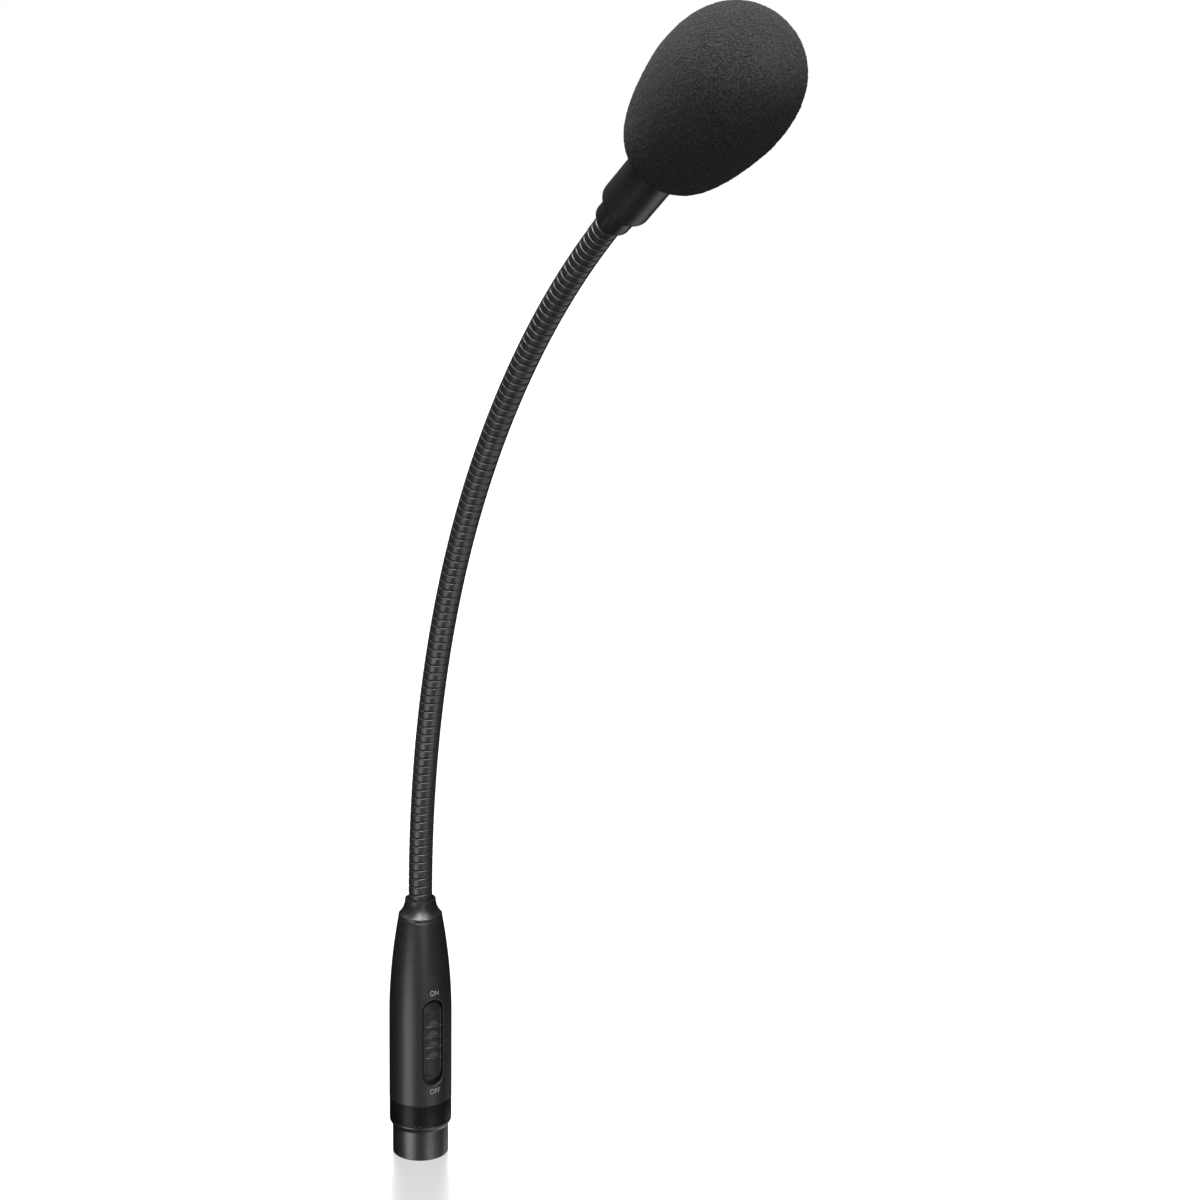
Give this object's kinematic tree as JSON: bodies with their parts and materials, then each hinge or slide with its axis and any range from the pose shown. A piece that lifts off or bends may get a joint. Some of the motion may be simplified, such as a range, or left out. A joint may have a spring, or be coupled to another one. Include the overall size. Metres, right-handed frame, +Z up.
{
  "type": "gooseneck microphone",
  "caption": "Slim plug-in gooseneck microphone: 3-pin plug handle with slide switch, bendable wound-metal neck, capsule head and foam windscreen.",
  "frame": {"origin": "middle of the plug's mouth, on the handle's axis", "axes": "+Z up the handle from the plug, -Y the side that the switch faces and the neck leans to, +X to the right when facing the switch"},
  "size_m": [0.0402, 0.2198, 0.3999],
  "materials": {
    "plug_metal": "satin",
    "plug_plastic": "matte",
    "contact_metal": "satin",
    "band_gloss": "gloss",
    "barrel_metal": "satin",
    "nose_metal": "satin",
    "fixing_steel": "satin",
    "brass": "satin",
    "board_green": "satin",
    "component_black": "satin",
    "lead_plastic": "satin",
    "knob_plastic": "satin",
    "switch_plastic": "matte",
    "neck_metal": "satin",
    "cable_jacket": "satin",
    "collar_metal": "satin",
    "housing_metal": "satin",
    "grille_metal": "satin",
    "felt": "matte",
    "rubber": "matte",
    "capsule_aluminium": "satin",
    "film": "gloss",
    "foam": "matte"
  },
  "bodies": {
    "handle": {"xlr_shell": "plug_metal", "xlr_insert": "plug_plastic", "xlr_pins": "contact_metal", "insert_screw": "fixing_steel", "ground_contact": "contact_metal", "xlr_leads": "lead_plastic", "band_ring": "band_gloss", "handle_barrel": "barrel_metal", "nose_cap": "nose_metal", "neck_ferrule": "brass", "neck_lock_nut": "fixing_steel", "circuit_board": "board_green", "capacitors": "component_black", "board_chips": "component_black", "board_leads": "lead_plastic", "switch_frame": "switch_plastic", "frame_screws": "fixing_steel", "switch_can": "fixing_steel", "switch_base": "switch_plastic", "switch_terminals": "contact_metal", "neck_cable": "cable_jacket", "neck_segment_00": "neck_metal"},
    "switch": {"switch_knob": "knob_plastic", "switch_actuator": "switch_plastic", "switch_contact": "contact_metal"},
    "neck_01": {"neck_segment_01": "neck_metal"},
    "neck_02": {"neck_segment_02": "neck_metal"},
    "neck_03": {"neck_segment_03": "neck_metal"},
    "neck_04": {"neck_segment_04": "neck_metal"},
    "neck_05": {"neck_segment_05": "neck_metal"},
    "neck_06": {"neck_segment_06": "neck_metal"},
    "neck_07": {"neck_segment_07": "neck_metal"},
    "neck_08": {"neck_segment_08": "neck_metal"},
    "neck_09": {"neck_segment_09": "neck_metal"},
    "neck_10": {"neck_segment_10": "neck_metal"},
    "neck_11": {"neck_segment_11": "neck_metal"},
    "neck_12": {"neck_segment_12": "neck_metal"},
    "neck_13": {"neck_segment_13": "neck_metal"},
    "neck_14": {"neck_segment_14": "neck_metal"},
    "neck_15": {"neck_segment_15": "neck_metal"},
    "head": {"neck_segment_16": "neck_metal", "head_collar": "collar_metal", "collar_nut": "fixing_steel", "capsule_housing": "housing_metal", "head_grille": "grille_metal", "grille_felt": "felt", "capsule_holder": "rubber", "capsule_can": "capsule_aluminium", "head_leads": "lead_plastic", "diaphragm": "film", "spacer_ring": "switch_plastic", "backplate": "brass", "backplate_holder": "switch_plastic", "contact_ring": "contact_metal", "capsule_board": "board_green", "fet_chip": "component_black", "capsule_felt": "felt"},
    "windscreen": {"windscreen_foam": "foam"}
  },
  "joints": [
    {"name": "neck_bend_1", "type": "hinge", "parent": "handle", "child": "neck_01", "pos_m": [0, -0.00014, 0.1017], "axis": [1, 0.0052, 0.0002], "range_deg": [-13.75, 8.75], "deforming": ["neck_cable"]},
    {"name": "neck_side_1", "type": "hinge", "parent": "neck_01", "child": "neck_02", "pos_m": [0, -0.00122, 0.11939], "axis": [0, 0.9958, 0.0911], "range_deg": [-10, 10], "deforming": ["neck_cable"]},
    {"name": "neck_bend_2", "type": "hinge", "parent": "neck_02", "child": "neck_03", "pos_m": [0, -0.00336, 0.13698], "axis": [1, 0.0052, 0.0008], "range_deg": [-13.75, 8.75], "deforming": ["neck_cable"]},
    {"name": "neck_side_2", "type": "hinge", "parent": "neck_03", "child": "neck_04", "pos_m": [0, -0.00657, 0.15441], "axis": [0, 0.9776, 0.2106], "range_deg": [-10, 10], "deforming": ["neck_cable"]},
    {"name": "neck_bend_3", "type": "hinge", "parent": "neck_04", "child": "neck_05", "pos_m": [0, -0.01083, 0.17161], "axis": [1, 0.005, 0.0014], "range_deg": [-13.75, 8.75], "deforming": ["neck_cable"]},
    {"name": "neck_side_3", "type": "hinge", "parent": "neck_05", "child": "neck_06", "pos_m": [0, -0.01611, 0.18852], "axis": [0, 0.945, 0.327], "range_deg": [-10, 10], "deforming": ["neck_cable"]},
    {"name": "neck_bend_4", "type": "hinge", "parent": "neck_06", "child": "neck_07", "pos_m": [0, -0.02241, 0.20509], "axis": [1, 0.0048, 0.002], "range_deg": [-13.75, 8.75], "deforming": ["neck_cable"]},
    {"name": "neck_side_4", "type": "hinge", "parent": "neck_07", "child": "neck_08", "pos_m": [0, -0.0297, 0.22124], "axis": [0, 0.8986, 0.4387], "range_deg": [-10, 10], "deforming": ["neck_cable"]},
    {"name": "neck_bend_5", "type": "hinge", "parent": "neck_08", "child": "neck_09", "pos_m": [0, -0.03795, 0.23692], "axis": [1, 0.0046, 0.0026], "range_deg": [-13.75, 8.75], "deforming": ["neck_cable"]},
    {"name": "neck_side_5", "type": "hinge", "parent": "neck_09", "child": "neck_10", "pos_m": [0, -0.04714, 0.25208], "axis": [0, 0.8396, 0.5432], "range_deg": [-10, 10], "deforming": ["neck_cable"]},
    {"name": "neck_bend_6", "type": "hinge", "parent": "neck_10", "child": "neck_11", "pos_m": [0, -0.05718, 0.26668], "axis": [1, 0.0042, 0.0031], "range_deg": [-13.75, 8.75], "deforming": ["neck_cable"]},
    {"name": "neck_side_6", "type": "hinge", "parent": "neck_11", "child": "neck_12", "pos_m": [0, -0.06803, 0.28069], "axis": [0, 0.7733, 0.6341], "range_deg": [-10, 10], "deforming": ["neck_cable"]},
    {"name": "neck_bend_7", "type": "hinge", "parent": "neck_12", "child": "neck_13", "pos_m": [0, -0.07965, 0.29408], "axis": [1, 0.0039, 0.0035], "range_deg": [-13.75, 8.75], "deforming": ["neck_cable"]},
    {"name": "neck_side_7", "type": "hinge", "parent": "neck_13", "child": "neck_14", "pos_m": [0, -0.092, 0.30678], "axis": [0, 0.6972, 0.7169], "range_deg": [-10, 10], "deforming": ["neck_cable"]},
    {"name": "neck_bend_8", "type": "hinge", "parent": "neck_14", "child": "neck_15", "pos_m": [0, -0.10504, 0.31878], "axis": [1, 0.0034, 0.004], "range_deg": [-13.75, 8.75], "deforming": ["neck_cable"]},
    {"name": "neck_side_8", "type": "hinge", "parent": "neck_15", "child": "head", "pos_m": [0, -0.11875, 0.33002], "axis": [0, 0.6122, 0.7907], "range_deg": [-10, 10], "deforming": ["neck_cable"]},
    {"name": "switch_slide", "type": "slide", "parent": "handle", "child": "switch", "axis": [0, 0, 1], "range_m": [-0.0023, 0]},
    {"name": "windscreen_pull", "type": "slide", "parent": "head", "child": "windscreen", "axis": [0, -0.8173, 0.5761], "range_m": [0, 0.045]}
  ]
}
